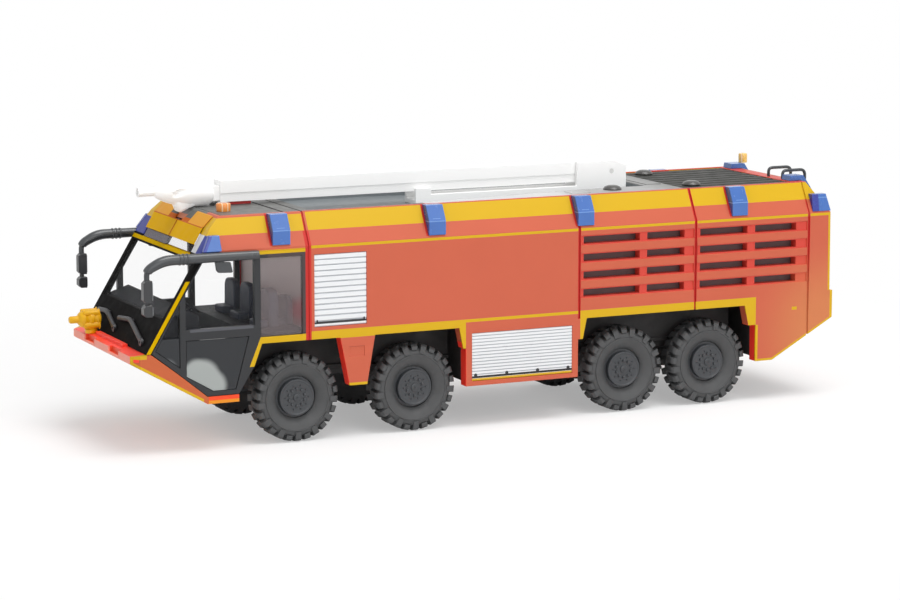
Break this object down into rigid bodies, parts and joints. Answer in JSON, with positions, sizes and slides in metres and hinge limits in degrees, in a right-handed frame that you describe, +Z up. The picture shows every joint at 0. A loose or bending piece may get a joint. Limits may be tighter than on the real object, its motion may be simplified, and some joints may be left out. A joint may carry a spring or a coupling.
{
  "type": "scale model of an airport fire truck",
  "caption": "Scale model of an airport fire truck with rolling axles, a hinged roof boom, a glazed cab, side grilles and roller shutters.",
  "frame": {"origin": "centre of the model's bounding box in plan, on the surface that the tyres stand on", "axes": "+X towards the tail, the cab faces -X; +Y to the model's right-hand side; +Z up"},
  "size_m": [0.1442, 0.0382, 0.0461],
  "materials": {
    "body_red": "glossy orange-red moulded plastic with yellow bands",
    "chassis_black": "matt black moulded plastic",
    "frame_black": "gloss black window frame",
    "clear_window": "clear window plastic",
    "deck_grey": "satin grey roof deck",
    "louvre_grey": "dark grey louvred cover",
    "shutter_white": "white slatted roller shutter",
    "backing_dark": "dark grille backing",
    "interior_dark": "dark interior plastic",
    "seat_blue": "dark blue-grey seats",
    "plate_yellow": "yellow and amber front plates",
    "lamp_blue": "translucent blue lamp",
    "lamp_red": "translucent red tail lamp",
    "lamp_amber": "translucent amber beacon",
    "trim_grey": "dark grey plastic trim",
    "boom_white": "white boom plastic",
    "pin_steel": "steel pin",
    "wheel_grey": "dark grey wheel",
    "tyre": "dark grey soft plastic tyre"
  },
  "bodies": {
    "truck": {"chassis": "chassis_black", "body_shell": "body_red", "roof_deck": "deck_grey", "roof_louvre": "louvre_grey", "grille_backings": "backing_dark", "upper_shutters": "shutter_white", "lower_shutters": "shutter_white", "cab_roof": "body_red", "cab_deck": "deck_grey", "windscreen_frame": "frame_black", "windscreen": "clear_window", "upper_glass": "clear_window", "side_frame_left": "frame_black", "side_frame_right": "frame_black", "side_glass_left": "clear_window", "side_glass_right": "clear_window", "chin": "body_red", "cab_floor": "interior_dark", "dashboard": "interior_dark", "seats": "seat_blue", "front_plates": "plate_yellow", "side_lamps": "lamp_blue", "front_corner_lamps": "lamp_blue", "rear_corner_lamps": "lamp_blue", "roof_domes": "trim_grey", "beacons": "lamp_amber", "handrails": "trim_grey", "mirror_left": "trim_grey", "mirror_right": "trim_grey", "front_monitor": "plate_yellow", "boom_base": "boom_white", "boom_pin": "pin_steel", "rear_ladder": "trim_grey", "tail_lamps": "lamp_red"},
    "boom": {"boom": "boom_white", "boom_head": "boom_white"},
    "wheels_1": {"axle_1": "wheel_grey", "tyre_1_left": "tyre", "tyre_1_right": "tyre"},
    "wheels_2": {"axle_2": "wheel_grey", "tyre_2_left": "tyre", "tyre_2_right": "tyre"},
    "wheels_3": {"axle_3": "wheel_grey", "tyre_3_left": "tyre", "tyre_3_right": "tyre"},
    "wheels_4": {"axle_4": "wheel_grey", "tyre_4_left": "tyre", "tyre_4_right": "tyre"}
  },
  "joints": [
    {"name": "axle_1_roll", "type": "hinge", "parent": "truck", "child": "wheels_1", "pos_m": [-0.0381, 0, 0.00795], "axis": [0, 1, 0], "continuous": true},
    {"name": "axle_2_roll", "type": "hinge", "parent": "truck", "child": "wheels_2", "pos_m": [-0.01514, 0, 0.00795], "axis": [0, 1, 0], "continuous": true},
    {"name": "axle_3_roll", "type": "hinge", "parent": "truck", "child": "wheels_3", "pos_m": [0.02777, 0, 0.00795], "axis": [0, 1, 0], "continuous": true},
    {"name": "axle_4_roll", "type": "hinge", "parent": "truck", "child": "wheels_4", "pos_m": [0.04578, 0, 0.00795], "axis": [0, 1, 0], "continuous": true},
    {"name": "boom_lift", "type": "hinge", "parent": "truck", "child": "boom", "pos_m": [0.0318, 0, 0.04365], "axis": [0, 1, 0], "range_deg": [0, 60]}
  ]
}
